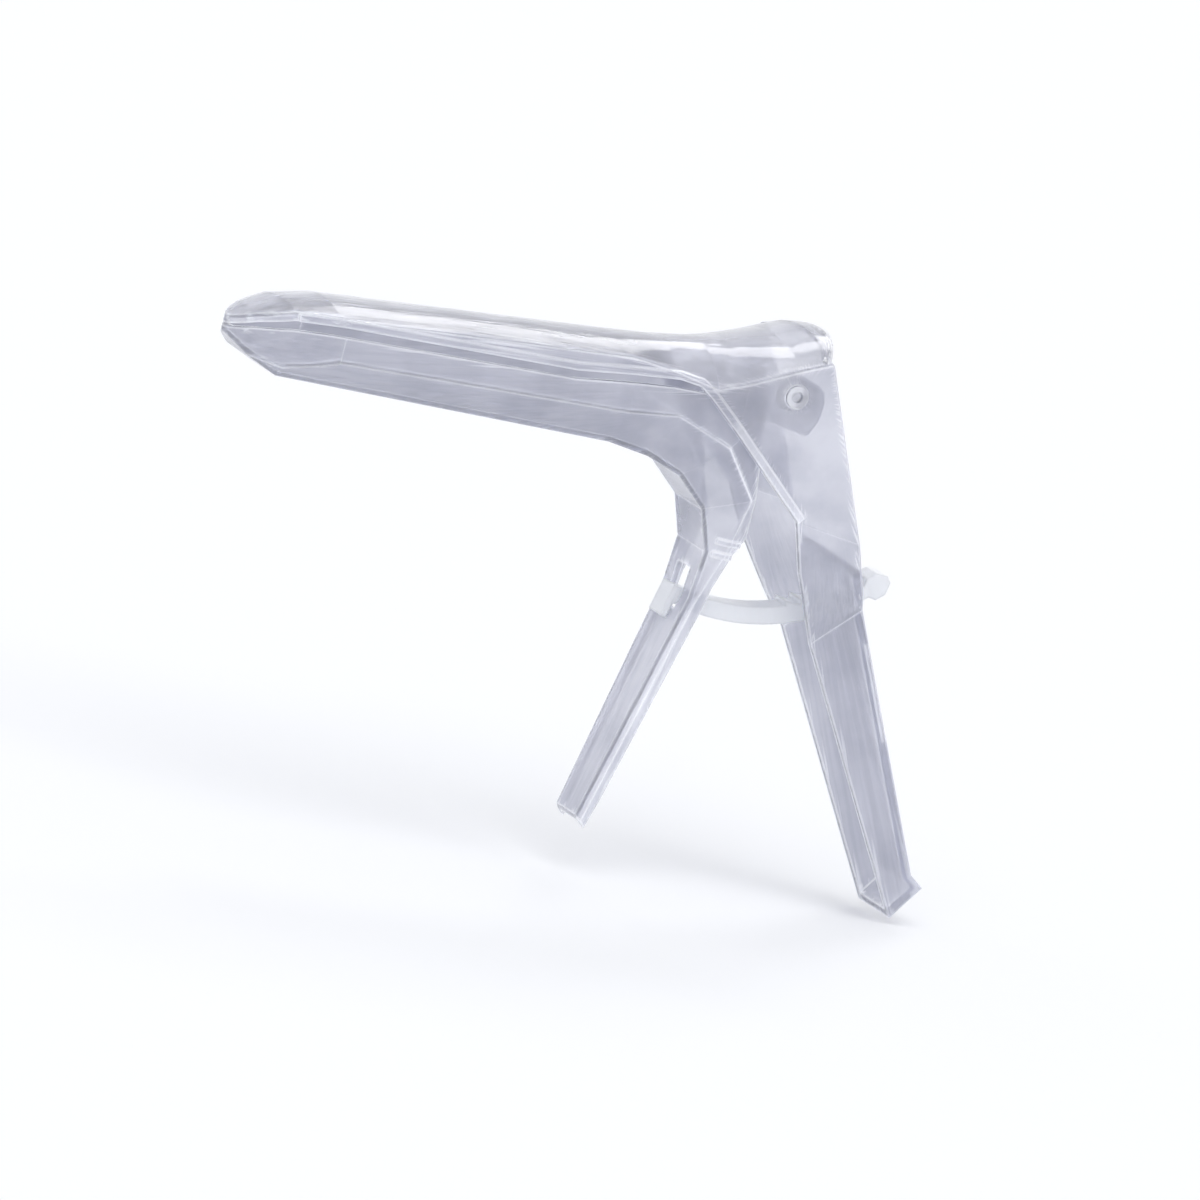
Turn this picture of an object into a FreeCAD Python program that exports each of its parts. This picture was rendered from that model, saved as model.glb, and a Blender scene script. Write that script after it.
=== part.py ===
import FreeCAD, Part
import math
import os

# Bivalve speculum of clear plastic, in millimetres.
# The hinge axis runs along Y through the origin, the blades point to -X, the handles hang to -Z.
# An outline point is (x, z) in the side view. An angle on the strip runs rearwards from straight down.

# Walls and clearances
WALL = 1.7
CHEEK_GAP = 0.3
RUNNING_GAP = 0.05
SEAT_GAP = 0.02
FACE_GAP = 0.1
SLOT_GAP = 0.4
PAWL_GAP = 0.25
HOOK_GAP = 0.5
OVERCUT = 5.0

# Both blades in plan
BLADE_HALF_WIDTH = 12.8
TIP_X = -134.4
TIP_OVERRUN = 1.0
TIP_LENGTH = 24.4
NOSE_X = TIP_X + 4.6
NOSE_HALF_WIDTH = 5.4
BILL_X = TIP_X + 12.4
BILL_HALF_WIDTH = 9.0

# Upper blade and funnel
UPPER_TIP_TOP = -5.9
UPPER_NOSE_TOP = -2.7
UPPER_BILL_TOP = 0.4
UPPER_BLADE_X = TIP_X + 22.4
UPPER_BLADE_TOP = 2.1
UPPER_NECK_X = -39.0
UPPER_NECK_TOP = 4.5
UPPER_NECK_HALF_WIDTH = 13.0
UPPER_ARCH_RISE = 2.7
UPPER_TIP_ARCH_RISE = 2.4
THROAT_X = -18.5
THROAT_TOP = 6.2
THROAT_SPRING = -1.6
THROAT_HALF_WIDTH = 17.6
FLARE_X = -28.0
FLARE_TOP = 5.2
FLARE_SPRING = 0.4
FLARE_HALF_WIDTH = 14.6
CHEEK_X = -12.0
CHEEK_TOP = 7.2
CHEEK_SPRING = 0.9
CHEEK_HALF_WIDTH = 19.0
PIN_STATION_TOP = 10.0
PIN_STATION_SPRING = 5.8
RIM_X = 7.0
RIM_TOP = 12.6
RIM_SPRING = 8.3
BEYOND_RIM_X = 30.0
BEYOND_RIM_TOP = 15.0
BEYOND_RIM_SPRING = 10.4

# Upper valve in the side view
UPPER_TIP_EDGE = (TIP_X - 0.2, -7.4)
UPPER_NOSE_EDGE = (TIP_X + 5.4, -5.0)
UPPER_BILL_EDGE = (TIP_X + 13.4, -2.7)
UPPER_BLADE_EDGE = (TIP_X + 24.4, -1.8)
UPPER_NECK_EDGE = (-52.0, -2.9)
UPPER_FLARE_EDGE = (-27.5, -1.0)
CHEEK_FRONT_TOP = (-22.6, -1.6)
CHEEK_FRONT_BEND = (-20.0, -3.6)
CHEEK_FRONT_LOW = (8.0, -28.4)
FLANGE_UPPER = (13.3, -40.5)
FLANGE_KNEE = (19.9, -51.2)
FLANGE_TOP = (24.0, -57.3)
FLANGE_END = (60.2, -116.8)
WEB_LIP = (66.4, -108.9)
WEB_END = (62.9, -106.3)
WEB_TOP = (34.6, -47.8)
WEB_SHOULDER = (28.2, -38.0)
MOUTH_LIP = (24.6, -31.2)
RIM_CORNER = (7.2, 9.0)
RIM_CROWN = (12.0, 13.6)
MOUTH_FLOOR_Z = -35.6
EDGE_RIB_WIDTH = 1.8
EDGE_RIB_PROUD = 0.7
WEB_PANEL_START = 9.0
WEB_PANEL_LENGTH = 24.0
WEB_PANEL_HALF_WIDTH = 5.4
WEB_PANEL_DEPTH = 0.5
CONVERGE_FRONT_X = -20.0
CONVERGE_REAR_X = 50.0

# Rear handle from the front
REAR_HANDLE_HALF_WIDTH = 8.5

# Lower blade sections, from the tip to the throat
LOWER_TIP = (TIP_X - 0.2, -9.2)
LOWER_TIP_FLOOR = 4.0
LOWER_TIP_CREASE = 0.9
LOWER_NOSE = (NOSE_X, -12.8)
LOWER_NOSE_FLOOR = 5.0
LOWER_NOSE_CREASE = 3.2
LOWER_BILL = (BILL_X, -16.3)
LOWER_FLOOR = 6.6
LOWER_BILL_CREASE = 6.2
LOWER_NECK = (-37.0, -19.2)
LOWER_NECK_CREASE = 8.4
LOWER_NECK_HALF_WIDTH = 12.9

# Lower valve bend, where the floor of the trough turns into the front of the handle
BEND_START = (-27.0, -20.9)
BEND_START_TILT = 10.0
BEND_START_HALF_WIDTH = 14.6
BEND_UPPER = (-18.2, -24.2)
BEND_UPPER_TILT = 33.0
BEND_LOWER = (-10.6, -31.0)
BEND_LOWER_TILT = 58.0
BEND_LOWER_HALF_WIDTH = 15.0
BEND_END = (-7.3, -40.4)
BEND_END_TILT = 85.0
BEND_END_HALF_WIDTH = 9.4
BEND_FLOOR = 7.4
BEND_CREASE = 11.5
BEND_LOWER_CREASE = 9.5
BEND_END_CREASE = 4.5
FRONT_FACE_TOP = (-8.3, -51.6)
FRONT_FACE_END = (-21.6, -104.3)
FRONT_HANDLE_HALF_WIDTH = 8.5
FRONT_TIP_HALF_WIDTH = 6.1
FRONT_HANDLE_CHAMFER = 1.4
FRONT_FACE_OVERRUN = 10.0
CHANNEL_REACH = 38.0

# Lower valve in the side view
LOWER_TIP_RIM = (TIP_X - 0.4, -8.2)
LOWER_NOSE_RIM = (TIP_X + 5.4, -6.4)
LOWER_BILL_RIM = (TIP_X + 13.4, -5.0)
LOWER_BLADE_RIM = (TIP_X + 24.4, -4.2)
LOWER_NECK_RIM = (-52.0, -5.0)
LOWER_FLARE_RIM = (-27.5, -3.2)
LUG_RADIUS = 4.8
LUG_TOP_REAR = (5.6, 3.0)
LUG_REAR_TOP = (7.3, 1.6)
LUG_REAR = (8.0, -1.4)
LUG_REAR_LOW = (7.6, -5.0)
LUG_LOW_REAR = (5.6, -8.8)
LUG_LOW_FRONT = (-5.2, -7.0)
NECK_REAR = (0.4, -35.3)
HANDLE_REAR_TOP = (-3.8, -48.2)
HANDLE_REAR_STRIP = (-4.8, -53.4)
HANDLE_REAR_LOW = (-10.6, -75.4)
HANDLE_REAR_END = (-17.2, -100.4)
HANDLE_TIP = (-19.4, -107.5)
HANDLE_TIP_FRONT = (-24.0, -102.5)
NECK_FOLD_Z = -36.6
NECK_FOLD_PITCH = 3.2
NECK_FOLD_COUNT = 2
NECK_FOLD_HEIGHT = 1.3
NECK_FOLD_PROUD = 0.5
NECK_FOLD_SETBACK = 1.5

# Hinge pins
PIN_RADIUS = 2.65
PIN_PROUD = 0.8
PIN_DIMPLE_RADIUS = 1.25
PIN_DIMPLE_DEPTH = 1.4
PIN_HEAD_RADIUS = 3.9
PIN_HEAD_THICKNESS = 1.2
PIN_HEAD_GAP = 0.4

# Ratchet strip
STRIP_OUTER_RADIUS = 55.0
STRIP_THICKNESS = 4.0
STRIP_INNER_RADIUS = STRIP_OUTER_RADIUS - STRIP_THICKNESS
STRIP_HALF_WIDTH = 3.0
STRIP_END_ANGLE = 42.6
STRIP_HANG = 6.2
SLOT_ANGLE = 38.0
SLOT_REACH = 7.0
TOOTH_HEIGHT = 1.2
TOOTH_COUNT = 4
TOOTH_FIRST_ANGLE = 20.4
TOOTH_PITCH = 4.0
TOOTH_RAMP = 3.2
TOOTH_ROOT = 0.6
STRIP_NECK_THICKNESS = 2.9
NECK_INNER_RADIUS = STRIP_OUTER_RADIUS - STRIP_NECK_THICKNESS
TAB_LENGTH = 6.0
TAB_HEIGHT = 5.6
TAB_SHOULDER = 1.3
TAB_POINT_START = 3.9
TAB_POINT_HEIGHT = 1.8
TAB_SEAT_ANGLE = 0.5
HEAD_ABOVE = 2.0
HEAD_BELOW = 5.6
HEAD_THICKNESS = 1.8
WINDOW_ABOVE = 7.0
FAR = 200.0


def vector(x, y, z):
    return FreeCAD.Vector(x, y, z)


def polar(radius, angle):
    # Side-view point at this radius from the hinge and this angle from straight down.
    return (radius * math.sin(math.radians(angle)), -radius * math.cos(math.radians(angle)))


def along(start, end, distance):
    # Side-view point this far from start on the line to end.
    length = math.dist(start, end)
    share = distance / length
    return (start[0] + share * (end[0] - start[0]), start[1] + share * (end[1] - start[1]))


def inset(points, distance):
    # Open outline moved to its left by a distance, with its corners mitred.
    moved = []
    for (ax, az), (bx, bz) in zip(points, points[1:]):
        length = math.hypot(bx - ax, bz - az)
        side = (-(bz - az) * distance / length, (bx - ax) * distance / length)
        moved.append(((ax + side[0], az + side[1]), (bx + side[0], bz + side[1])))
    result = [moved[0][0]]
    for (a, b), (c, d) in zip(moved, moved[1:]):
        ux, uz = b[0] - a[0], b[1] - a[1]
        vx, vz = d[0] - c[0], d[1] - c[1]
        share = ((c[0] - a[0]) * vz - (c[1] - a[1]) * vx) / (ux * vz - uz * vx)
        result.append((a[0] + share * ux, a[1] + share * uz))
    result.append(moved[-1][1])
    return result


def side_prism(points, near, far):
    # Solid with this side-view outline, between two values of y.
    corners = [vector(x, near, z) for x, z in points]
    wire = Part.makePolygon(corners + corners[:1])
    return Part.Face(wire).extrude(vector(0, far - near, 0))


def tip_prism(margin):
    # Plan of the rounded blade tip, set in by a margin, and wide open behind it.
    half = BLADE_HALF_WIDTH - margin
    bill = BILL_HALF_WIDTH - margin
    nose = NOSE_HALF_WIDTH - margin
    root = TIP_X + TIP_LENGTH
    plan = [(root, half), (BILL_X, bill), (NOSE_X, nose), (TIP_X + margin, 0)]
    plan += [(x, -y) for x, y in plan[-2::-1]]
    curve = Part.BSplineCurve()
    curve.interpolate([vector(x, y, -FAR) for x, y in plan])
    behind = [
        vector(root, -half, -FAR),
        vector(root + WALL, -2 * half, -FAR),
        vector(FAR, -2 * half, -FAR),
        vector(FAR, 2 * half, -FAR),
        vector(root + WALL, 2 * half, -FAR),
        vector(root, half, -FAR),
    ]
    wire = Part.Wire([curve.toShape()] + Part.makePolygon(behind).Edges)
    return Part.Face(wire).extrude(vector(0, 0, 2 * FAR))


def arch_section(x, half_width, spring, top, margin):
    # Upright section of the upper valve: straight sides up to the spring line, then an arch.
    half = half_width - margin
    left = vector(x, -half, spring)
    right = vector(x, half, spring)
    arch = Part.Arc(left, vector(x, 0, top - margin), right).toShape()
    low_left = vector(x, -half, -FAR)
    low_right = vector(x, half, -FAR)
    sides = [
        Part.LineSegment(right, low_right).toShape(),
        Part.LineSegment(low_right, low_left).toShape(),
        Part.LineSegment(low_left, left).toShape(),
    ]
    return Part.Wire([arch] + sides)


def upper_stations(margin):
    # Sections of the upper valve, from the tip through the throat to behind the mouth.
    tip_rise = UPPER_TIP_ARCH_RISE
    rise = UPPER_ARCH_RISE
    blade = BLADE_HALF_WIDTH
    return [
        arch_section(TIP_X - TIP_OVERRUN, blade, UPPER_TIP_TOP - tip_rise, UPPER_TIP_TOP, margin),
        arch_section(NOSE_X, blade, UPPER_NOSE_TOP - tip_rise, UPPER_NOSE_TOP, margin),
        arch_section(BILL_X, blade, UPPER_BILL_TOP - tip_rise, UPPER_BILL_TOP, margin),
        arch_section(UPPER_BLADE_X, blade, UPPER_BLADE_TOP - tip_rise, UPPER_BLADE_TOP, margin),
        arch_section(UPPER_NECK_X, UPPER_NECK_HALF_WIDTH, UPPER_NECK_TOP - rise, UPPER_NECK_TOP, margin),
        arch_section(FLARE_X, FLARE_HALF_WIDTH, FLARE_SPRING, FLARE_TOP, margin),
        arch_section(THROAT_X, THROAT_HALF_WIDTH, THROAT_SPRING, THROAT_TOP, margin),
        arch_section(CHEEK_X, CHEEK_HALF_WIDTH, CHEEK_SPRING, CHEEK_TOP, margin),
        arch_section(0, CHEEK_HALF_WIDTH, PIN_STATION_SPRING, PIN_STATION_TOP, margin),
        arch_section(RIM_X, CHEEK_HALF_WIDTH, RIM_SPRING, RIM_TOP, margin),
        arch_section(BEYOND_RIM_X, CHEEK_HALF_WIDTH, BEYOND_RIM_SPRING, BEYOND_RIM_TOP, margin),
        arch_section(FAR, CHEEK_HALF_WIDTH, BEYOND_RIM_SPRING, BEYOND_RIM_TOP, margin),
    ]


def height_on(start, end, x):
    # Height at this x of the side-view line through two points.
    return start[1] + (end[1] - start[1]) * (x - start[0]) / (end[0] - start[0])


def cheek_wire(x, seen_x, margin):
    # Front view of the cheeks and the rear handle, placed at x and shaped as at seen_x.
    cheek = CHEEK_HALF_WIDTH - margin
    handle = REAR_HANDLE_HALF_WIDTH - margin
    wide = height_on(CHEEK_FRONT_LOW, MOUTH_LIP, seen_x)
    narrow = height_on(FLANGE_TOP, WEB_TOP, seen_x)
    outline = [
        (-cheek, FAR),
        (-cheek, wide),
        (-handle, narrow),
        (-handle, -FAR),
        (handle, -FAR),
        (handle, narrow),
        (cheek, wide),
        (cheek, FAR),
    ]
    corners = [vector(x, y, z) for y, z in outline]
    return Part.makePolygon(corners + corners[:1])


def upper_front(margin):
    # Limits the upper valve to its cheeks, which converge on the rear handle.
    stations = [
        cheek_wire(-FAR, CONVERGE_FRONT_X, margin),
        cheek_wire(CONVERGE_FRONT_X, CONVERGE_FRONT_X, margin),
        cheek_wire(CONVERGE_REAR_X, CONVERGE_REAR_X, margin),
        cheek_wire(FAR, CONVERGE_REAR_X, margin),
    ]
    return Part.makeLoft(stations, True, True)


def upper_edge():
    # Lower edge of the upper blade and front edge of the cheek, in the side view.
    blade = [UPPER_BILL_EDGE, UPPER_BLADE_EDGE, UPPER_NECK_EDGE, UPPER_FLARE_EDGE]
    return blade + [CHEEK_FRONT_TOP, CHEEK_FRONT_BEND, CHEEK_FRONT_LOW]


def upper_shell(margin):
    # Outer form of the upper valve before its side outline is cut, set in by a margin.
    loft = Part.makeLoft(upper_stations(margin), True, True)
    return loft.common(upper_front(margin)).common(tip_prism(margin))


def edge_rib():
    # Raised border along the lower edge of the blade and the front edge of the cheek.
    edge = upper_edge()
    band = edge + inset(edge, EDGE_RIB_WIDTH)[::-1]
    return upper_shell(-EDGE_RIB_PROUD).common(side_prism(band, -FAR, FAR))


def web_panel():
    # Shallow recess in the rear face of the handle.
    start = along(WEB_TOP, WEB_END, WEB_PANEL_START)
    end = along(WEB_TOP, WEB_END, WEB_PANEL_START + WEB_PANEL_LENGTH)
    bottom = inset([start, end], -WEB_PANEL_DEPTH)
    top = inset([start, end], OVERCUT)
    return side_prism(bottom + top[::-1], -WEB_PANEL_HALF_WIDTH, WEB_PANEL_HALF_WIDTH)


def strip_drop(angle):
    # How far the hanging strip lies outside its engaged place, at this angle.
    pivot = hook_heel()
    point = polar(STRIP_OUTER_RADIUS, angle)
    return math.dist(pivot, point) * math.radians(STRIP_HANG)


def strip_slot():
    # Hole in the rear web, from the edge that the teeth catch on to below the hanging strip.
    inner = STRIP_INNER_RADIUS - TOOTH_HEIGHT - PAWL_GAP
    outer = STRIP_OUTER_RADIUS + strip_drop(SLOT_ANGLE) + SLOT_GAP
    half = STRIP_HALF_WIDTH + SLOT_GAP
    return ring_sector(inner, outer, SLOT_ANGLE - SLOT_REACH, SLOT_ANGLE + SLOT_REACH, half)


def upper_valve():
    flange = [FLANGE_UPPER, FLANGE_KNEE, FLANGE_TOP]
    rear = [FLANGE_END, WEB_LIP, WEB_END, WEB_TOP, WEB_SHOULDER, MOUTH_LIP]
    outline = [UPPER_TIP_EDGE, UPPER_NOSE_EDGE] + upper_edge() + flange + rear
    outline += [RIM_CORNER, RIM_CROWN, (RIM_CROWN[0], FAR), (-FAR, FAR), (-FAR, UPPER_TIP_EDGE[1])]
    outer = upper_shell(0).common(side_prism(outline, -FAR, FAR)).fuse(edge_rib())

    inner_rear = inset(rear, WALL)
    plate_front = along(inner_rear[0], inner_rear[1], -OVERCUT)
    hollow = [plate_front] + inner_rear[1:-1]
    floor_front = along(inner_rear[-2], inner_rear[-1], inner_rear[-2][1] - MOUTH_FLOOR_Z)
    hollow += [(floor_front[0], MOUTH_FLOOR_Z), (FAR, MOUTH_FLOOR_Z), (FAR, FAR)]
    hollow += [(-FAR, FAR), (-FAR, plate_front[1])]
    valve = outer.cut(upper_shell(WALL).common(side_prism(hollow, -FAR, FAR)))
    bore = Part.makeCylinder(PIN_RADIUS + SEAT_GAP, 2 * FAR, vector(0, -FAR, 0), vector(0, 1, 0))
    return valve.cut(bore).cut(strip_slot()).cut(web_panel()).removeSplitter()


def channel_section(foot, tilt, floor_half, wall_half, crease, margin):
    # Section of the lower valve: floor, slanted facets and side walls, leaning back by the tilt.
    across = [
        (-wall_half, CHANNEL_REACH),
        (-wall_half, crease),
        (-floor_half, 0),
        (floor_half, 0),
        (wall_half, crease),
        (wall_half, CHANNEL_REACH),
    ]
    if margin:
        across = inset(across, margin)
    lean_x = math.sin(math.radians(tilt))
    lean_z = math.cos(math.radians(tilt))
    corners = [vector(foot[0] + lean_x * up, y, foot[1] + lean_z * up) for y, up in across]
    return Part.makePolygon(corners + corners[:1])


def lug_half_width():
    return CHEEK_HALF_WIDTH - WALL - CHEEK_GAP


def lower_stations(margin):
    # Sections of the lower valve, from the tip round the bend to the end of the handle.
    down = math.atan2(FRONT_FACE_TOP[0] - FRONT_FACE_END[0], FRONT_FACE_TOP[1] - FRONT_FACE_END[1])
    face_tilt = 90 + math.degrees(down)
    past_end = along(FRONT_FACE_END, FRONT_FACE_TOP, -FRONT_FACE_OVERRUN)
    return [
        channel_section(LOWER_TIP, 0, LOWER_TIP_FLOOR, BLADE_HALF_WIDTH, LOWER_TIP_CREASE, margin),
        channel_section(LOWER_NOSE, 0, LOWER_NOSE_FLOOR, BLADE_HALF_WIDTH, LOWER_NOSE_CREASE, margin),
        channel_section(LOWER_BILL, 0, LOWER_FLOOR, BLADE_HALF_WIDTH, LOWER_BILL_CREASE, margin),
        channel_section(LOWER_NECK, 0, LOWER_FLOOR, LOWER_NECK_HALF_WIDTH, LOWER_NECK_CREASE, margin),
        channel_section(BEND_START, BEND_START_TILT, BEND_FLOOR, BEND_START_HALF_WIDTH, BEND_CREASE, margin),
        channel_section(BEND_UPPER, BEND_UPPER_TILT, BEND_FLOOR, lug_half_width(), BEND_CREASE, margin),
        channel_section(
            BEND_LOWER, BEND_LOWER_TILT, BEND_FLOOR, BEND_LOWER_HALF_WIDTH, BEND_LOWER_CREASE, margin
        ),
        channel_section(BEND_END, BEND_END_TILT, BEND_FLOOR, BEND_END_HALF_WIDTH, BEND_END_CREASE, margin),
        channel_section(
            FRONT_FACE_TOP,
            face_tilt,
            FRONT_HANDLE_HALF_WIDTH - FRONT_HANDLE_CHAMFER,
            FRONT_HANDLE_HALF_WIDTH,
            FRONT_HANDLE_CHAMFER,
            margin,
        ),
        channel_section(
            past_end,
            face_tilt,
            FRONT_TIP_HALF_WIDTH - FRONT_HANDLE_CHAMFER,
            FRONT_TIP_HALF_WIDTH,
            FRONT_HANDLE_CHAMFER,
            margin,
        ),
    ]


def crease_direction():
    # Unit normal of the crease between cheek and funnel, which the top of the lug runs along.
    run = -CHEEK_X
    climb = PIN_STATION_SPRING - CHEEK_SPRING
    length = math.hypot(run, climb)
    return (-climb / length, run / length)


def lower_outline():
    # Side view of the lower valve: rim of the blade, rise to the lug, rear edge, handle.
    normal = crease_direction()
    lug_top = (LUG_RADIUS * normal[0], LUG_RADIUS * normal[1])
    rise_end = LOWER_FLARE_RIM[1]
    rise_start = (lug_top[0] + (lug_top[1] - rise_end) * normal[1] / normal[0], rise_end)
    return [
        LOWER_TIP_RIM,
        LOWER_NOSE_RIM,
        LOWER_BILL_RIM,
        LOWER_BLADE_RIM,
        LOWER_NECK_RIM,
        LOWER_FLARE_RIM,
        rise_start,
        lug_top,
        (0, 0),
        LUG_LOW_FRONT,
        NECK_REAR,
        HANDLE_REAR_TOP,
        HANDLE_REAR_STRIP,
        HANDLE_REAR_LOW,
        HANDLE_REAR_END,
        HANDLE_TIP,
        HANDLE_TIP_FRONT,
        (-FAR, HANDLE_TIP_FRONT[1]),
        (-FAR, LOWER_TIP_RIM[1]),
    ]


def lug(side):
    # Flat ear round the pin, just inside the cheek.
    outer = lug_half_width()
    near = min(side * (outer - WALL), side * outer)
    ring = Part.makeCylinder(LUG_RADIUS, WALL, vector(0, near, 0), vector(0, 1, 0))
    rear = [LUG_LOW_REAR, LUG_REAR_LOW, LUG_REAR, LUG_REAR_TOP, LUG_TOP_REAR]
    arm = [LUG_LOW_FRONT] + rear + [(0, LUG_RADIUS), (0, 0), (-LUG_RADIUS, 0)]
    return ring.fuse(side_prism(arm, near, near + WALL))


def neck_folds():
    # Low steps across the side walls, where the neck narrows into the front handle.
    shell = Part.makeLoft(lower_stations(-NECK_FOLD_PROUD), True, True)
    front = BEND_END[0] + NECK_FOLD_SETBACK
    folds = []
    for number in range(NECK_FOLD_COUNT):
        top = NECK_FOLD_Z - number * NECK_FOLD_PITCH
        low = top - NECK_FOLD_HEIGHT
        back = along(NECK_REAR, HANDLE_REAR_TOP, NECK_REAR[1] - low)[0]
        outline = [(front, top), (back, top), (back, low), (front, low)]
        for side in (-1, 1):
            near = min(side * BEND_FLOOR, side * FAR)
            folds.append(shell.common(side_prism(outline, near, near + FAR - BEND_FLOOR)))
    return folds


def strip_root():
    # Where the middle of the strip passes the front wall of the lower valve.
    middle = (STRIP_INNER_RADIUS + STRIP_OUTER_RADIUS) / 2
    distance = middle - math.hypot(FRONT_FACE_TOP[0], FRONT_FACE_TOP[1])
    return along(FRONT_FACE_TOP, FRONT_FACE_END, distance)


def front_axes():
    # Unit vectors down the front handle and out of its front face.
    length = math.dist(FRONT_FACE_TOP, FRONT_FACE_END)
    down_x = (FRONT_FACE_END[0] - FRONT_FACE_TOP[0]) / length
    down_z = (FRONT_FACE_END[1] - FRONT_FACE_TOP[1]) / length
    return (down_x, down_z), (down_z, -down_x)


def front_point(below, before):
    # Side-view point this far down the front handle from the root and this far before its face.
    root = strip_root()
    down, out = front_axes()
    return (root[0] + below * down[0] + before * out[0], root[1] + below * down[1] + before * out[1])


def window_below():
    return strip_half_height() + 2 * SLOT_GAP


def hook_heel():
    # The strip swings where its head bears on the front face, at the lower edge of the window.
    return front_point(window_below(), 0)


def front_plate(above, below, behind, before):
    # Side-view outline of a slab along the front face.
    return [
        front_point(-above, -behind),
        front_point(below, -behind),
        front_point(below, before),
        front_point(-above, before),
    ]


def strip_half_height():
    return (STRIP_OUTER_RADIUS - STRIP_INNER_RADIUS) / 2


def lower_valve():
    outer = Part.makeLoft(lower_stations(0), True, True)
    outer = outer.common(side_prism(lower_outline(), -FAR, FAR)).common(tip_prism(0))
    for fold in neck_folds():
        outer = outer.fuse(fold)
    inner = Part.makeLoft(lower_stations(WALL), True, True).common(tip_prism(WALL))
    valve = outer.cut(inner)
    for side in (-1, 1):
        valve = valve.fuse(lug(side))
    bore = Part.makeCylinder(PIN_RADIUS + RUNNING_GAP, 2 * FAR, vector(0, -FAR, 0), vector(0, 1, 0))
    head_room = lug_half_width() - WALL
    pocket = Part.makeCylinder(
        PIN_HEAD_RADIUS + PIN_HEAD_GAP, 2 * head_room, vector(0, -head_room, 0), vector(0, 1, 0)
    )
    window_half = STRIP_HALF_WIDTH + SLOT_GAP
    window = front_plate(WINDOW_ABOVE, window_below(), OVERCUT, OVERCUT)
    valve = valve.cut(pocket).cut(bore)
    return valve.cut(side_prism(window, -window_half, window_half)).removeSplitter()


def tooth(angle):
    # One tooth on the upper side, steep towards the front handle.
    tip = polar(STRIP_INNER_RADIUS - TOOTH_HEIGHT, angle)
    foot = polar(STRIP_INNER_RADIUS + TOOTH_ROOT, angle)
    ramp_end = polar(STRIP_INNER_RADIUS, angle + TOOTH_RAMP)
    ramp_foot = polar(STRIP_INNER_RADIUS + TOOTH_ROOT, angle + TOOTH_RAMP)
    return side_prism([tip, foot, ramp_foot, ramp_end], -STRIP_HALF_WIDTH, STRIP_HALF_WIDTH)


def ring_sector(inner, outer, start, end, half):
    # Part of a flat ring about the hinge axis.
    corners = [
        vector(polar(inner, start)[0], -half, polar(inner, start)[1]),
        vector(polar(inner, start)[0], half, polar(inner, start)[1]),
        vector(polar(outer, start)[0], half, polar(outer, start)[1]),
        vector(polar(outer, start)[0], -half, polar(outer, start)[1]),
    ]
    face = Part.Face(Part.makePolygon(corners + corners[:1]))
    return face.revolve(vector(0, 0, 0), vector(0, -1, 0), end - start)


def strip_tab():
    # Pointed tab behind the rear web, in line with the strip's end.
    middle = (NECK_INNER_RADIUS + STRIP_OUTER_RADIUS) / 2
    base = polar(middle, STRIP_END_ANGLE - TAB_SEAT_ANGLE)
    ahead = polar(1, STRIP_END_ANGLE + 90)
    out = polar(1, STRIP_END_ANGLE)
    neck = (STRIP_OUTER_RADIUS - NECK_INNER_RADIUS) / 2
    shape = [
        (0, -neck),
        (TAB_SHOULDER, -TAB_HEIGHT / 2),
        (TAB_POINT_START, -TAB_HEIGHT / 2),
        (TAB_LENGTH, -TAB_POINT_HEIGHT / 2),
        (TAB_LENGTH, TAB_POINT_HEIGHT / 2),
        (TAB_POINT_START, TAB_HEIGHT / 2),
        (TAB_SHOULDER, TAB_HEIGHT / 2),
        (0, neck),
    ]
    outline = []
    for length, height in shape:
        x = base[0] + length * ahead[0] + height * out[0]
        z = base[1] + length * ahead[1] + height * out[1]
        outline.append((x, z))
    return side_prism(outline, -STRIP_HALF_WIDTH, STRIP_HALF_WIDTH)


def swing(shape, degrees):
    # Turned about the heel of the hook, up at the tab for a positive angle.
    heel = hook_heel()
    return shape.rotated(vector(heel[0], 0, heel[1]), vector(0, -1, 0), degrees)


def neck_start():
    # The thin neck begins where the last tooth ends.
    return TOOTH_FIRST_ANGLE + (TOOTH_COUNT - 1) * TOOTH_PITCH + TOOTH_RAMP


def ratchet_strip():
    # The toothed arc is concentric with the hinge when it is lifted, and hangs from there at rest.
    half = STRIP_HALF_WIDTH
    root = strip_root()
    start = math.degrees(math.atan2(root[0], -root[1]))
    body = ring_sector(STRIP_INNER_RADIUS, STRIP_OUTER_RADIUS, start, neck_start(), half)
    neck_root = neck_start() - TAB_SEAT_ANGLE
    neck = ring_sector(NECK_INNER_RADIUS, STRIP_OUTER_RADIUS, neck_root, STRIP_END_ANGLE, half)
    arc = body.fuse(neck)
    for number in range(TOOTH_COUNT):
        arc = arc.fuse(tooth(TOOTH_FIRST_ANGLE + number * TOOTH_PITCH))
    arc = swing(arc.fuse(strip_tab()), -STRIP_HANG)
    head_front = HOOK_GAP + HEAD_THICKNESS
    head = side_prism(front_plate(HEAD_ABOVE, HEAD_BELOW, -HOOK_GAP, head_front), -half, half)
    tall = strip_half_height()
    link = side_prism(front_plate(tall, tall, 2 * WALL, HOOK_GAP + HEAD_THICKNESS / 2), -half, half)
    return arc.fuse(link).fuse(head).removeSplitter()


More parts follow.
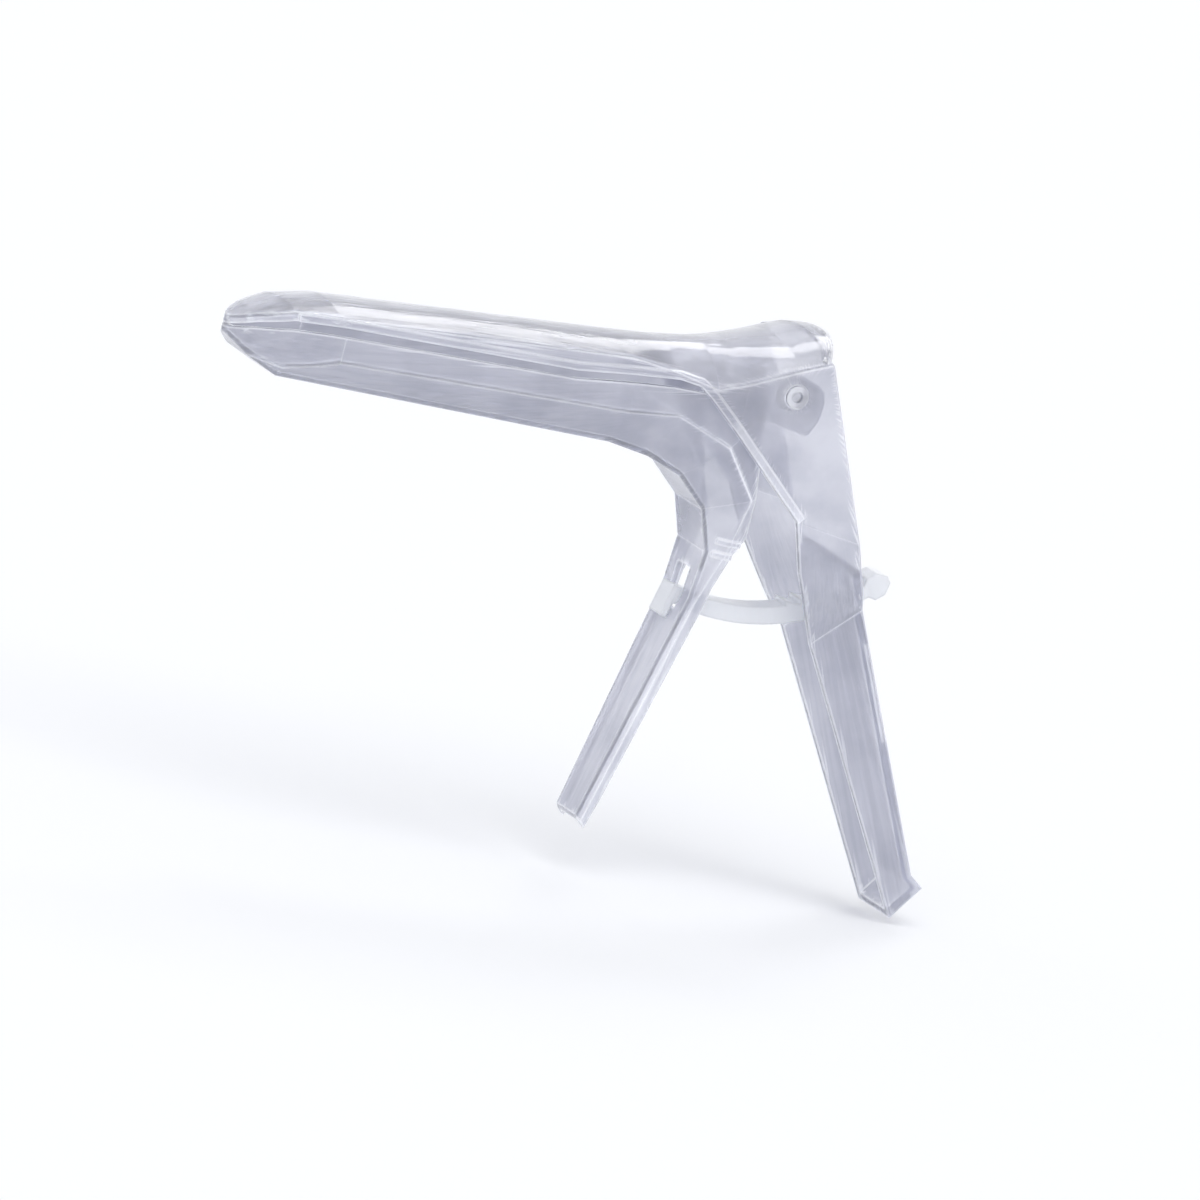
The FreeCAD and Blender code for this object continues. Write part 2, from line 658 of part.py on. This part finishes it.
def hinge_pin(side):
    # Snap rivet: head inside the lug, shank through lug and cheek, dimpled end standing proud.
    inner = lug_half_width() - WALL - FACE_GAP
    outer = CHEEK_HALF_WIDTH + PIN_PROUD
    outwards = vector(0, side, 0)
    shank = Part.makeCylinder(PIN_RADIUS, outer - inner, vector(0, side * inner, 0), outwards)
    head_start = inner - PIN_HEAD_THICKNESS
    head = Part.makeCylinder(PIN_HEAD_RADIUS, PIN_HEAD_THICKNESS, vector(0, side * head_start, 0), outwards)
    dimple_start = outer - PIN_DIMPLE_DEPTH
    dimple = Part.makeCylinder(
        PIN_DIMPLE_RADIUS, 2 * PIN_DIMPLE_DEPTH, vector(0, side * dimple_start, 0), outwards
    )
    return shank.fuse(head).cut(dimple).removeSplitter()


def main():
    os.makedirs("parts", exist_ok=True)
    pieces = {
        "upper_valve": upper_valve(),
        "lower_valve": lower_valve(),
        "ratchet_strip": ratchet_strip(),
        "hinge_pin_near": hinge_pin(-1),
        "hinge_pin_far": hinge_pin(1),
    }
    for name, shape in pieces.items():
        box = shape.optimalBoundingBox()
        print(name, "solids", len(shape.Solids), "valid", shape.isValid(), "volume", round(shape.Volume, 1))
        print("  x", round(box.XMin, 1), round(box.XMax, 1), "z", round(box.ZMin, 1), round(box.ZMax, 1))
        shape.exportStep(os.path.join("parts", name + ".step"))
    print("heel of the hook", hook_heel())


main()
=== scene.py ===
# %% [markdown]
# # A clear plastic bivalve speculum
# The real object is five mouldings: two valves of clear plastic with a faint lavender cast, two
# small pins of much the same plastic, and a white toothed strip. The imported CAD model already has
# their true shapes, so this scene keeps those meshes, adds one fine bead inside the mouth, and
# spends its effort on the plastic.

import math

import bpy
from mathutils import Matrix, Vector


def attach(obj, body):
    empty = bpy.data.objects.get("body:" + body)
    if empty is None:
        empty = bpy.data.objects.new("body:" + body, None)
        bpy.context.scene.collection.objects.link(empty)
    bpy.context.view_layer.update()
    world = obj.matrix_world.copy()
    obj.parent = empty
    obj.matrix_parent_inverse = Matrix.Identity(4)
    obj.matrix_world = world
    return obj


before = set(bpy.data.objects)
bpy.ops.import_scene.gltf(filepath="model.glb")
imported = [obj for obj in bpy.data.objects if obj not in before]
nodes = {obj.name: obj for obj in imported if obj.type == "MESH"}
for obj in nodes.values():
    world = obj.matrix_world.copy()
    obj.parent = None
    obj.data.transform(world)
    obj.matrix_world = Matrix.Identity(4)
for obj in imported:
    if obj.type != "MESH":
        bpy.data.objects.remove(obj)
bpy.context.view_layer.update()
print("nodes", sorted(nodes))

# %% [markdown]
# ## The camera
# The picture was taken with a long lens, so lines that are parallel on the object stay parallel.
# An orthographic camera could do that, but other views move the camera, and they do it best with
# a lens. A perspective camera far away, with a very long lens, gives the same picture. It is
# turned by its three axes, which also gives the roll.

# %% Place the camera
VIEW_RIGHT = Vector((0.8836, -0.4031, 0.2383)).normalized()
VIEW_BACK = Vector((-0.4471, -0.8775, 0.1736)).normalized()
VIEW_TARGET = Vector((-0.0252, 0.0016, -0.0569))
VIEW_WIDTH = 0.26966
VIEW_DISTANCE = 10.0
SENSOR_WIDTH = 36.0
FAR_LIMIT = 40.0

view_up = VIEW_BACK.cross(VIEW_RIGHT).normalized()
view_right = view_up.cross(VIEW_BACK)
place = VIEW_TARGET + VIEW_BACK * VIEW_DISTANCE
camera_data = bpy.data.cameras.new("camera")
camera_data.sensor_width = SENSOR_WIDTH
camera_data.lens = SENSOR_WIDTH * VIEW_DISTANCE / VIEW_WIDTH
camera_data.clip_end = FAR_LIMIT
camera = bpy.data.objects.new("camera", camera_data)
bpy.context.scene.collection.objects.link(camera)
camera.matrix_world = Matrix((
    (view_right.x, view_up.x, VIEW_BACK.x, place.x),
    (view_right.y, view_up.y, VIEW_BACK.y, place.y),
    (view_right.z, view_up.z, VIEW_BACK.z, place.z),
    (0, 0, 0, 1),
))
bpy.context.scene.camera = camera
print("lens", round(camera_data.lens, 1), "mm from", [round(v, 3) for v in place])

# %% [markdown]
# ## The moulded skin and its painted light
# Clear plastic is never quite even. It has clouds, streaks, slow waves and hairline scratches.
# One node group makes all of these from Object coordinates, and it also paints a white highlight
# and a glow onto the edges. Each plastic can use it with its own amounts. It gives out only
# colours, a roughness and a normal, and the shader itself stays in each material. Node trees get
# long, so small helpers come first: they add a node and fill its sockets, with a link from another
# node or with a plain value.

# %% Helpers that add nodes and fill their sockets
def add_node(tree, kind, **settings):
    node = tree.nodes.new(kind)
    for name, value in settings.items():
        setattr(node, name, value)
    return node


def feed(tree, value, socket):
    if isinstance(value, bpy.types.NodeSocket):
        tree.links.new(value, socket)
    else:
        socket.default_value = value


def number(tree, operation, *values):
    node = add_node(tree, "ShaderNodeMath", operation=operation)
    for value, socket in zip(values, node.inputs):
        feed(tree, value, socket)
    return node.outputs["Value"]


def vector(tree, operation, *values):
    node = add_node(tree, "ShaderNodeVectorMath", operation=operation)
    for value, socket in zip(values, node.inputs):
        feed(tree, value, socket)
    gives_number = operation in ("LENGTH", "DOT_PRODUCT")
    return node.outputs["Value" if gives_number else "Vector"]


print("helpers for nodes, numbers and vectors")

# %% Helpers for patterns, masks, mixes and relief
def noise(tree, place, detail, scale=1.0):
    node = add_node(tree, "ShaderNodeTexNoise")
    feed(tree, place, node.inputs["Vector"])
    feed(tree, detail, node.inputs["Detail"])
    feed(tree, scale, node.inputs["Scale"])
    return node.outputs["Fac"]


def mask(tree, value, start, full, top=1.0, curve="SMOOTHSTEP"):
    node = add_node(tree, "ShaderNodeMapRange", interpolation_type=curve)
    feed(tree, value, node.inputs["Value"])
    feed(tree, start, node.inputs["From Min"])
    feed(tree, full, node.inputs["From Max"])
    feed(tree, top, node.inputs["To Max"])
    return node.outputs["Result"]


def mix(tree, share, first, second, kind):
    node = add_node(tree, "ShaderNodeMix", data_type=kind)
    feed(tree, share, node.inputs["Factor"])
    feed(tree, first, node.inputs["A"])
    feed(tree, second, node.inputs["B"])
    return node.outputs["Result"]


def relief(tree, height, strength, distance, normal):
    node = add_node(tree, "ShaderNodeBump")
    feed(tree, height, node.inputs["Height"])
    feed(tree, strength, node.inputs["Strength"])
    feed(tree, distance, node.inputs["Distance"])
    feed(tree, normal, node.inputs["Normal"])
    return node.outputs["Normal"]


print("helpers for noise, masks, mixes and relief")

# %% Make the group and its sockets
SKIN_AMOUNTS = (
    ("Clear", "NodeSocketColor", (0.8, 0.81, 0.87, 1)),
    ("Cloudy", "NodeSocketColor", (0.74, 0.75, 0.83, 1)),
    ("Cloud size", "NodeSocketFloat", 60.0),
    ("Gloss", "NodeSocketFloat", 0.04),
    ("Haze", "NodeSocketFloat", 0.12),
    ("Wave depth", "NodeSocketFloat", 0.12),
    ("Streak depth", "NodeSocketFloat", 0.25),
    ("Scratch depth", "NodeSocketFloat", 0.05),
    ("Edge radius", "NodeSocketFloat", 0.0008),
    # The next two amounts set painted light: how white the edges are painted as a highlight, and a
    # glow painted over the whole plastic though it is no lamp.
    ("Painted edge highlight", "NodeSocketFloat", 1.0),
    ("Painted inner glow", "NodeSocketFloat", 0.0),
)
SKIN_RESULTS = (
    ("Color", "NodeSocketColor"),
    ("Roughness", "NodeSocketFloat"),
    ("Normal", "NodeSocketVector"),
    # This output is the colour of the painted glow, which the shader gives out as emission.
    ("Painted glow", "NodeSocketColor"),
)

skin = bpy.data.node_groups.new("moulded_skin_and_painted_light", "ShaderNodeTree")
for name, kind, value in SKIN_AMOUNTS:
    socket = skin.interface.new_socket(name=name, in_out="INPUT", socket_type=kind)
    socket.default_value = value
for name, kind in SKIN_RESULTS:
    skin.interface.new_socket(name=name, in_out="OUTPUT", socket_type=kind)
amounts = add_node(skin, "NodeGroupInput").outputs
results = add_node(skin, "NodeGroupOutput").inputs
skin_place = add_node(skin, "ShaderNodeTexCoord").outputs["Object"]
print("group", skin.name, "with", len(SKIN_AMOUNTS), "amounts and", len(SKIN_RESULTS), "results")

# %% [markdown]
# ## Clouds and streaks
# The plastic was pushed into the mould from near the hinge, and it left fine streaks that run out
# along the blades and the handles. A stretched noise can make streaks, but a straight stretch
# would follow only one of the four arms. Here the noise is read round the hinge, which is at the
# origin: a point's heading from there changes it fast, and its distance only slowly. Near the
# hinge the streaks would crowd together, so they fade out there. Soft clouds vary the haze.

# %% Clouds
CLOUD_DETAIL = 4.0
CLOUD_START = 0.35
CLOUD_FULL = 0.68

clouds = noise(skin, skin_place, CLOUD_DETAIL, amounts["Cloud size"])
cloud_mask = mask(skin, clouds, CLOUD_START, CLOUD_FULL)
haze = mix(skin, cloud_mask, amounts["Gloss"], amounts["Haze"], "FLOAT")
feed(skin, haze, results["Roughness"])
print("the clouds use", len(skin.nodes), "nodes")

# %% Streaks round the hinge
SIDE_VIEW = (1, 0, 1)
HEADING_CHANGE = 85.0
WIDTH_CHANGE = 500.0
DISTANCE_CHANGE = 22.0
STREAK_DETAIL = 3.0
STREAK_START = 0.38
STREAK_FULL = 0.66
HINGE_CLEAR = 0.028
HINGE_FAR = 0.06
STREAK_SHARE = 0.4

side_place = vector(skin, "MULTIPLY", skin_place, SIDE_VIEW)
reach = vector(skin, "LENGTH", side_place)
heading = vector(skin, "NORMALIZE", side_place)
around = vector(skin, "MULTIPLY", heading, (HEADING_CHANGE, 0, HEADING_CHANGE))
across = vector(skin, "MULTIPLY_ADD", skin_place, (0, WIDTH_CHANGE, 0), around)
outwards = number(skin, "MULTIPLY", reach, DISTANCE_CHANGE)
flow = vector(skin, "ADD", across, outwards)
streaks = noise(skin, flow, STREAK_DETAIL)
streak_mask = mask(skin, streaks, STREAK_START, STREAK_FULL)
away = mask(skin, reach, HINGE_CLEAR, HINGE_FAR)
streak_share = number(skin, "MULTIPLY", away, STREAK_SHARE)
uneven = mix(skin, streak_share, cloud_mask, streak_mask, "FLOAT")
tint = mix(skin, uneven, amounts["Clear"], amounts["Cloudy"], "RGBA")
print("with the streaks", len(skin.nodes), "nodes")

# %% [markdown]
# ## Painted light at the edges
#
# The edges and creases of the plastic get a painted highlight: they are painted white and made to
# glow, in place of light that a clear wall carries out to its edges. The Bevel node gives the
# normal that a rounded edge would have, and where that leans away from the flat wall's normal, an
# edge is near. A narrow mask follows each edge, and a wide one lets only the brightest streaks
# through, as painted highlight streaks beside the edges. The cheek's raised border gets a painted
# highlight all over, not only at its edges, so it is found by its place instead, by how far it
# stands out to the side.

# %% Find the edges
BEVEL_SAMPLES = 4
EDGE_START = 0.998
EDGE_FULL = 0.92
WIDE_RADIUS = 0.0028
WIDE_FULL = 0.88
WIDE_TOP = 0.9
BRIGHT_START = 0.5
RIB_START = 0.0192
RIB_FULL = 0.0196
RIB_TOP = 0.42


def rounded_normal(radius):
    bevel = add_node(skin, "ShaderNodeBevel", samples=BEVEL_SAMPLES)
    feed(skin, radius, bevel.inputs["Radius"])
    return bevel.outputs["Normal"]


def flatness(normal):
    return number(skin, "ABSOLUTE", vector(skin, "DOT_PRODUCT", normal, wall_normal))


wall_normal = add_node(skin, "ShaderNodeNewGeometry").outputs["True Normal"]
# Painted highlight: the narrow mask marks each edge and crease, which is painted white and made to
# glow.
soft_edge = rounded_normal(amounts["Edge radius"])
edge_mask = mask(skin, flatness(soft_edge), EDGE_START, EDGE_FULL)
# Painted highlight streaks: a wide edge mask lets the brightest streaks beside each edge be painted
# white.
wide_flatness = flatness(rounded_normal(WIDE_RADIUS))
wide_mask = mask(skin, wide_flatness, EDGE_START, WIDE_FULL, top=WIDE_TOP, curve="LINEAR")
bright_streaks = mask(skin, streaks, BRIGHT_START, STREAK_FULL)
edge_streak_highlight = number(skin, "MULTIPLY", wide_mask, bright_streaks)
# Painted highlight: the cheek's raised border is found by how far it stands out to the side, and is
# painted towards white over its whole width.
skin_axes = add_node(skin, "ShaderNodeSeparateXYZ")
feed(skin, skin_place, skin_axes.inputs[0])
sideways = number(skin, "ABSOLUTE", skin_axes.outputs["Y"])
rib_highlight_mask = mask(skin, sideways, RIB_START, RIB_FULL, top=RIB_TOP, curve="LINEAR")
rib_or_streak_highlight = number(skin, "MAXIMUM", rib_highlight_mask, edge_streak_highlight)
# Every place that gets a painted highlight: the edges, the cheek's border and the streaks beside
# the edges.
any_edge_highlight = number(skin, "MAXIMUM", edge_mask, rib_or_streak_highlight)
print("with the edges", len(skin.nodes), "nodes")

# %% Paint the edge highlights and the glow
WHITE = (1, 1, 1, 1)
NO_GLOW = (0, 0, 0, 1)
# Colour of the painted glow, which shines though it is no lamp.
PAINTED_GLOW_COLOR = (0.93, 0.95, 1, 1)

# Painted highlight: the edges are mixed towards white in the colour. The same share, or the
# plastic's painted inner glow if that is larger, sets a glow with no lamp behind it.
painted_edge_highlight = number(skin, "MULTIPLY", any_edge_highlight, amounts["Painted edge highlight"])
painted_glow_share = number(skin, "MAXIMUM", painted_edge_highlight, amounts["Painted inner glow"])
feed(skin, mix(skin, painted_edge_highlight, tint, WHITE, "RGBA"), results["Color"])
feed(skin, mix(skin, painted_glow_share, NO_GLOW, PAINTED_GLOW_COLOR, "RGBA"), results["Painted glow"])
print("with the glow", len(skin.nodes), "nodes")

# %% [markdown]
# ## Waves, raised streaks and scratches
# A moulded wall isn't quite flat either. Slow waves bend what is seen through it, the streaks
# stand up a little, and use leaves hairline scratches. Each is a Bump node that starts from the
# normal of the one before, and the first starts from the rounded edge. The heights are metres.

# %% Shape the surface
WAVE_SCALE = 90.0
WAVE_DETAIL = 2.0
WAVE_HEIGHT = 0.001
STREAK_HEIGHT = 0.0006
SCRATCH_TURN = (0.2, 0.35, 0.5)
SCRATCH_STRETCH = (60.0, 60.0, 1800.0)
SCRATCH_DETAIL = 3.0
SCRATCH_HEIGHT = 0.0002

waves = noise(skin, skin_place, WAVE_DETAIL, WAVE_SCALE)
wavy = relief(skin, waves, amounts["Wave depth"], WAVE_HEIGHT, soft_edge)
streak_depth = number(skin, "MULTIPLY", amounts["Streak depth"], away)
streaky = relief(skin, streaks, streak_depth, STREAK_HEIGHT, wavy)
stretch = add_node(skin, "ShaderNodeMapping")
feed(skin, skin_place, stretch.inputs["Vector"])
feed(skin, SCRATCH_TURN, stretch.inputs["Rotation"])
feed(skin, SCRATCH_STRETCH, stretch.inputs["Scale"])
scratches = noise(skin, stretch.outputs["Vector"], SCRATCH_DETAIL)
scratched = relief(skin, scratches, amounts["Scratch depth"], SCRATCH_HEIGHT, streaky)
feed(skin, scratched, results["Normal"])
print("the whole skin has", len(skin.nodes), "nodes")

# %% [markdown]
# ## The plastics
# Clear plastic could be plain glass, but then a white studio makes it vanish. The real mouldings
# look milky where walls overlap, so about a third of the light is scattered by the surface
# instead of passing through. The valves' plastic also takes up a little light on the way, which
# darkens them where the eye looks along a wall. The strip is softer and whiter: little light
# passes through it, much of the rest is scattered just inside its surface, and a painted glow
# all over makes it brighter still. Every plastic gives out its painted edge glow as emission,
# though none of them is a lamp.

# %% A recipe for plastic
PLASTIC_IOR = 1.5
# Strength of the painted glow that every plastic gives out as emission.
PAINTED_GLOW_STRENGTH = 0.3
SCATTER_EVENLY = (1.0, 1.0, 1.0)
SCATTER_DEPTH = 0.0015
BODY_TINT = (0.75, 0.765, 0.85, 1)


def plastic(name, look, transmission, subsurface=0.0, density=0.0):
    material = bpy.data.materials.new(name)
    material.use_nodes = True
    tree = material.node_tree
    shader = tree.nodes["Principled BSDF"]
    surface = add_node(tree, "ShaderNodeGroup", node_tree=skin)
    for amount, value in look.items():
        feed(tree, value, surface.inputs[amount])
    feed(tree, surface.outputs["Color"], shader.inputs["Base Color"])
    feed(tree, surface.outputs["Roughness"], shader.inputs["Roughness"])
    feed(tree, surface.outputs["Normal"], shader.inputs["Normal"])
    # The painted glow goes into the emission, so the edges, and the strip all over, shine with no
    # lamp behind them.
    feed(tree, surface.outputs["Painted glow"], shader.inputs["Emission Color"])
    feed(tree, PAINTED_GLOW_STRENGTH, shader.inputs["Emission Strength"])
    feed(tree, PLASTIC_IOR, shader.inputs["IOR"])
    feed(tree, transmission, shader.inputs["Transmission Weight"])
    feed(tree, subsurface, shader.inputs["Subsurface Weight"])
    feed(tree, SCATTER_EVENLY, shader.inputs["Subsurface Radius"])
    feed(tree, SCATTER_DEPTH, shader.inputs["Subsurface Scale"])
    if density:
        body = add_node(tree, "ShaderNodeVolumeAbsorption")
        feed(tree, BODY_TINT, body.inputs["Color"])
        feed(tree, density, body.inputs["Density"])
        feed(tree, body.outputs["Volume"], tree.nodes["Material Output"].inputs["Volume"])
    print(name, "lets through", transmission, "of the light")
    return material


# %% Make the three plastics
# The valves keep the full painted edge highlight that the group gives by default.
CLEAR_LOOK = {
    "Clear": (0.88, 0.885, 0.94, 1),
    "Cloudy": (0.68, 0.69, 0.76, 1),
    "Gloss": 0.035,
    "Haze": 0.1,
}
PIN_LOOK = {
    "Clear": (0.84, 0.85, 0.91, 1),
    "Cloudy": (0.76, 0.77, 0.84, 1),
    "Gloss": 0.05,
    "Haze": 0.12,
    # The pins' edges get a weaker painted highlight.
    "Painted edge highlight": 0.35,
}
WHITE_LOOK = {
    "Clear": (0.93, 0.955, 1.0, 1),
    "Cloudy": (0.9, 0.93, 0.99, 1),
    "Gloss": 0.3,
    "Haze": 0.45,
    # The strip gets a faint painted edge highlight and a painted glow all over, though it is no
    # lamp.
    "Painted edge highlight": 0.2,
    "Painted inner glow": 0.25,
}

clear_plastic = plastic("clear_plastic", CLEAR_LOOK, transmission=0.66, density=170.0)
pin_plastic = plastic("pin_plastic", PIN_LOOK, transmission=0.65)
white_plastic = plastic("white_plastic", WHITE_LOOK, transmission=0.12, subsurface=0.4)

# %% Give each moulding its plastic
for name, material in (
    ("upper_valve", clear_plastic),
    ("lower_valve", clear_plastic),
    ("hinge_pin_near", pin_plastic),
    ("hinge_pin_far", pin_plastic),
    ("ratchet_strip", white_plastic),
):
    for slot in nodes[name].material_slots:
        slot.material = material
    print(name, "is", material.name)

# %% [markdown]
# ## The bead inside the mouth
# The funnel's wall is thin, so the mould gives it a rounded bead just inside the rear edge, which
# shows as a bright line across the mouth. The edge is an arch that leans back. A small ring is
# placed at its crown and spun to one side about the arch's centre, which is what a hand would do
# with Blender's Spin tool. The other half is a mirror.

# %% Spin half the bead
BEAD_RADIUS = 0.0007
BEAD_CORNERS = 12
BEAD_STEPS = 20
RING_UPRIGHT = (math.radians(90), 0, 0)
MOUTH_CROWN = Vector((0.00878, 0, 0.01109))
MOUTH_LEAN = Vector((0.722, 0, 0.692))
MOUTH_ARCH_RADIUS = 0.0378
MOUTH_HALF_ANGLE = 27.2

bpy.ops.object.select_all(action="DESELECT")
bpy.ops.mesh.primitive_circle_add(
    vertices=BEAD_CORNERS, radius=BEAD_RADIUS, location=MOUTH_CROWN, rotation=RING_UPRIGHT
)
mouth_bead = bpy.context.active_object
mouth_bead.name = "mouth_bead"
bpy.ops.object.transform_apply(location=True, rotation=True, scale=True)
bpy.ops.object.mode_set(mode="EDIT")
bpy.ops.mesh.select_all(action="SELECT")
bpy.ops.mesh.spin(
    steps=BEAD_STEPS,
    angle=math.radians(MOUTH_HALF_ANGLE),
    center=MOUTH_CROWN - MOUTH_LEAN * MOUTH_ARCH_RADIUS,
    axis=MOUTH_LEAN.cross(Vector((0, 1, 0))),
)
bpy.ops.mesh.edge_face_add()
bpy.ops.object.mode_set(mode="OBJECT")
print("half a bead with", len(mouth_bead.data.vertices), "points")

# %% Mirror the bead and finish it
SEAM_GAP = 0.00002
SMOOTH_BELOW = 40

other_half = mouth_bead.modifiers.new("other_half", "MIRROR")
other_half.use_axis = (False, True, False)
other_half.merge_threshold = SEAM_GAP
bpy.ops.object.modifier_apply(modifier="other_half")
bpy.ops.object.mode_set(mode="EDIT")
bpy.ops.mesh.select_all(action="SELECT")
bpy.ops.mesh.normals_make_consistent(inside=False)
bpy.ops.object.mode_set(mode="OBJECT")
bpy.ops.object.shade_smooth_by_angle(angle=math.radians(SMOOTH_BELOW))
mouth_bead.data.materials.append(clear_plastic)
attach(mouth_bead, "upper")
bead_sides = [point.co.y for point in mouth_bead.data.vertices]
bead_width = round((max(bead_sides) - min(bead_sides)) * 1000, 1)
print("mouth bead", bead_width, "mm wide with", len(bead_sides), "points")

# %% [markdown]
# ## The studio
# A pale floor lies under the handles, and the world is white to every ray that looks for a
# background: straight from the camera, mirrored in the plastic, or through it. Light that falls
# on surfaces comes from a dimmer world and four far lamps, which light the whole floor evenly.
# The floor adds a little light of its own for those same rays, so it blends into the white, and a
# shadow still shows on it.

# %% Lay the floor
FLOOR_Z = -0.1185
FLOOR_SIZE = 12.0
FLOOR_COLOR = (0.9, 0.91, 0.93, 1)
FLOOR_ROUGHNESS = 0.9
FLOOR_GLOW = 0.14


def background_ray(tree):
    ray = add_node(tree, "ShaderNodeLightPath").outputs
    camera_or_mirror = number(tree, "MAXIMUM", ray["Is Camera Ray"], ray["Is Glossy Ray"])
    return number(tree, "MAXIMUM", camera_or_mirror, ray["Is Transmission Ray"])


bpy.ops.object.select_all(action="DESELECT")
bpy.ops.mesh.primitive_plane_add(size=FLOOR_SIZE, location=(0, 0, FLOOR_Z))
floor = bpy.context.active_object
floor.name = "floor"
floor_paint = bpy.data.materials.new("floor_paint")
floor_paint.use_nodes = True
paint_tree = floor_paint.node_tree
shader = paint_tree.nodes["Principled BSDF"]
feed(paint_tree, FLOOR_COLOR, shader.inputs["Base Color"])
feed(paint_tree, FLOOR_ROUGHNESS, shader.inputs["Roughness"])
feed(paint_tree, WHITE, shader.inputs["Emission Color"])
glow = number(paint_tree, "MULTIPLY", background_ray(paint_tree), FLOOR_GLOW)
feed(paint_tree, glow, shader.inputs["Emission Strength"])
floor.data.materials.append(floor_paint)
print("floor at z", FLOOR_Z)

# %% Light the world
DIM_COLOR = (0.95, 0.96, 1.0, 1)
DIM_STRENGTH = 0.6
BACKGROUND_COLOR = (0.985, 0.992, 1.0, 1)
BACKGROUND_STRENGTH = 1.0

world = bpy.data.worlds.new("world")
bpy.context.scene.world = world
world.use_nodes = True
world_tree = world.node_tree
world_tree.nodes.clear()
choose = add_node(world_tree, "ShaderNodeMixShader")
feed(world_tree, background_ray(world_tree), choose.inputs["Fac"])
for socket, color, strength in (
    (choose.inputs[1], DIM_COLOR, DIM_STRENGTH),
    (choose.inputs[2], BACKGROUND_COLOR, BACKGROUND_STRENGTH),
):
    light = add_node(world_tree, "ShaderNodeBackground")
    feed(world_tree, color, light.inputs["Color"])
    feed(world_tree, strength, light.inputs["Strength"])
    feed(world_tree, light.outputs[0], socket)
sky = add_node(world_tree, "ShaderNodeOutputWorld")
feed(world_tree, choose.outputs[0], sky.inputs["Surface"])
print("the world lights at", DIM_STRENGTH, "and shows at", BACKGROUND_STRENGTH)

# %% [markdown]
# ## The lamps
# Sun lamps shine from far away, so their light is the same all over the floor. A wide key lamp
# and a wide side lamp shape the walls without hard spots. The two narrower lamps behind the
# object lay the bright bands along the upper blade and the slope of the funnel.

# %% Hang the lamps
def far_lamp(name, direction, width, power):
    data = bpy.data.lights.new(name, "SUN")
    data.angle = math.radians(width)
    data.energy = power
    lamp = bpy.data.objects.new(name, data)
    bpy.context.scene.collection.objects.link(lamp)
    lamp.rotation_euler = (-Vector(direction)).to_track_quat("-Z", "Y").to_euler()
    print(name, "from", direction, power, "W/m2")


far_lamp("key_lamp", direction=(-0.25, -0.45, 0.85), width=50.0, power=0.8)
far_lamp("side_lamp", direction=(0.75, -0.6, 0.45), width=40.0, power=0.4)
far_lamp("back_lamp", direction=(0.447, 0.673, 0.589), width=17.0, power=0.22)
far_lamp("funnel_lamp", direction=(0.21, 0.62, 0.75), width=14.0, power=0.16)

# %% [markdown]
# ## Finish
# The Standard view shows colours as they are written.

# %% Set the view and finish
bpy.context.scene.view_settings.view_transform = "Standard"
